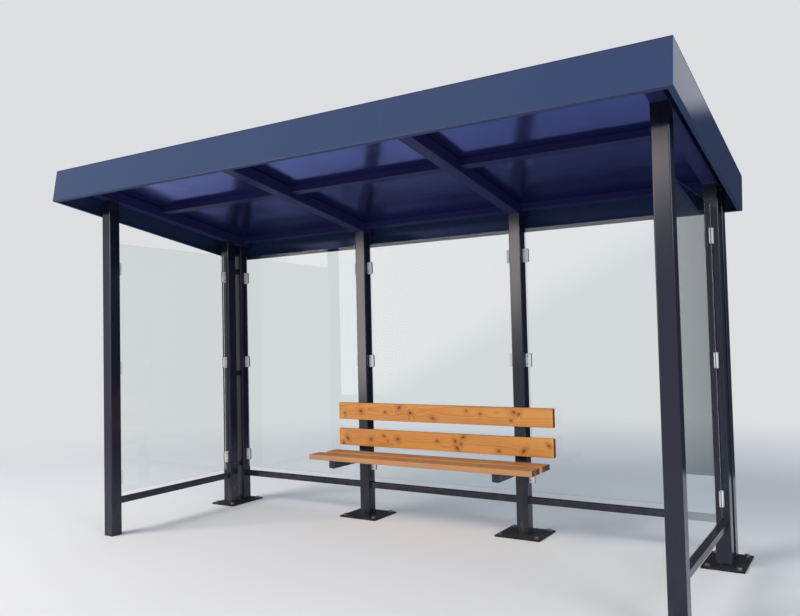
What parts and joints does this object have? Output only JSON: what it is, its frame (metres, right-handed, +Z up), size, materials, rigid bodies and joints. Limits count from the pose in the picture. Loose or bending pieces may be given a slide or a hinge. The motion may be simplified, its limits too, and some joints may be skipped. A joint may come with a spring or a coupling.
{
  "type": "bus shelter",
  "caption": "Open-fronted bus shelter: dark square-tube frame, clamped glass walls, boxed roof falling to the rear and a timber bench with a back.",
  "frame": {"origin": "on the ground, at the middle of the centre line of the rear posts", "axes": "+X along the shelter to the right as seen from the open front, +Y to the rear, +Z up"},
  "size_m": [3.897, 1.7324, 2.4252],
  "materials": {
    "frame_paint": "semi-gloss",
    "fascia_paint": "semi-gloss",
    "ceiling_paint": "gloss",
    "roof_cover": "semi-gloss",
    "galvanised": "matt",
    "pane": "clear",
    "clamp": "satin",
    "pine": "stained, satin"
  },
  "bodies": {
    "root": {"front_post_left": "frame_paint", "front_post_right": "frame_paint", "side_post_left": "frame_paint", "side_post_right": "frame_paint", "corner_post_left": "frame_paint", "corner_post_right": "frame_paint", "wall_post_left": "frame_paint", "wall_post_right": "frame_paint", "wall_base_left": "frame_paint", "wall_base_right": "frame_paint", "corner_base_left": "frame_paint", "corner_base_right": "frame_paint", "corner_spacers": "frame_paint", "side_rail_left": "frame_paint", "side_rail_right": "frame_paint", "rear_rails": "frame_paint", "rafter_outer_left": "frame_paint", "rafter_outer_right": "frame_paint", "rafter_inner_left": "frame_paint", "rafter_inner_right": "frame_paint", "roof_purlins": "frame_paint", "side_stubs": "frame_paint", "bench_arm_left": "frame_paint", "bench_arm_right": "frame_paint", "fascia_front": "fascia_paint", "fascia_left": "fascia_paint", "fascia_right": "fascia_paint", "fascia_rear_left": "fascia_paint", "fascia_rear_right": "fascia_paint", "ceiling_sheets": "ceiling_paint", "roof_cover": "roof_cover", "cover_caps": "roof_cover", "roof_battens": "galvanised", "side_glass_left": "pane", "side_glass_right": "pane", "rear_glass_left": "pane", "rear_glass_mid": "pane", "rear_glass_right": "pane", "side_clamps_left": "clamp", "side_clamps_right": "clamp", "rear_clamps": "clamp", "seat_board_front": "pine", "seat_board_rear": "pine", "back_board_lower": "pine", "back_board_upper": "pine"}
  },
  "joints": []
}
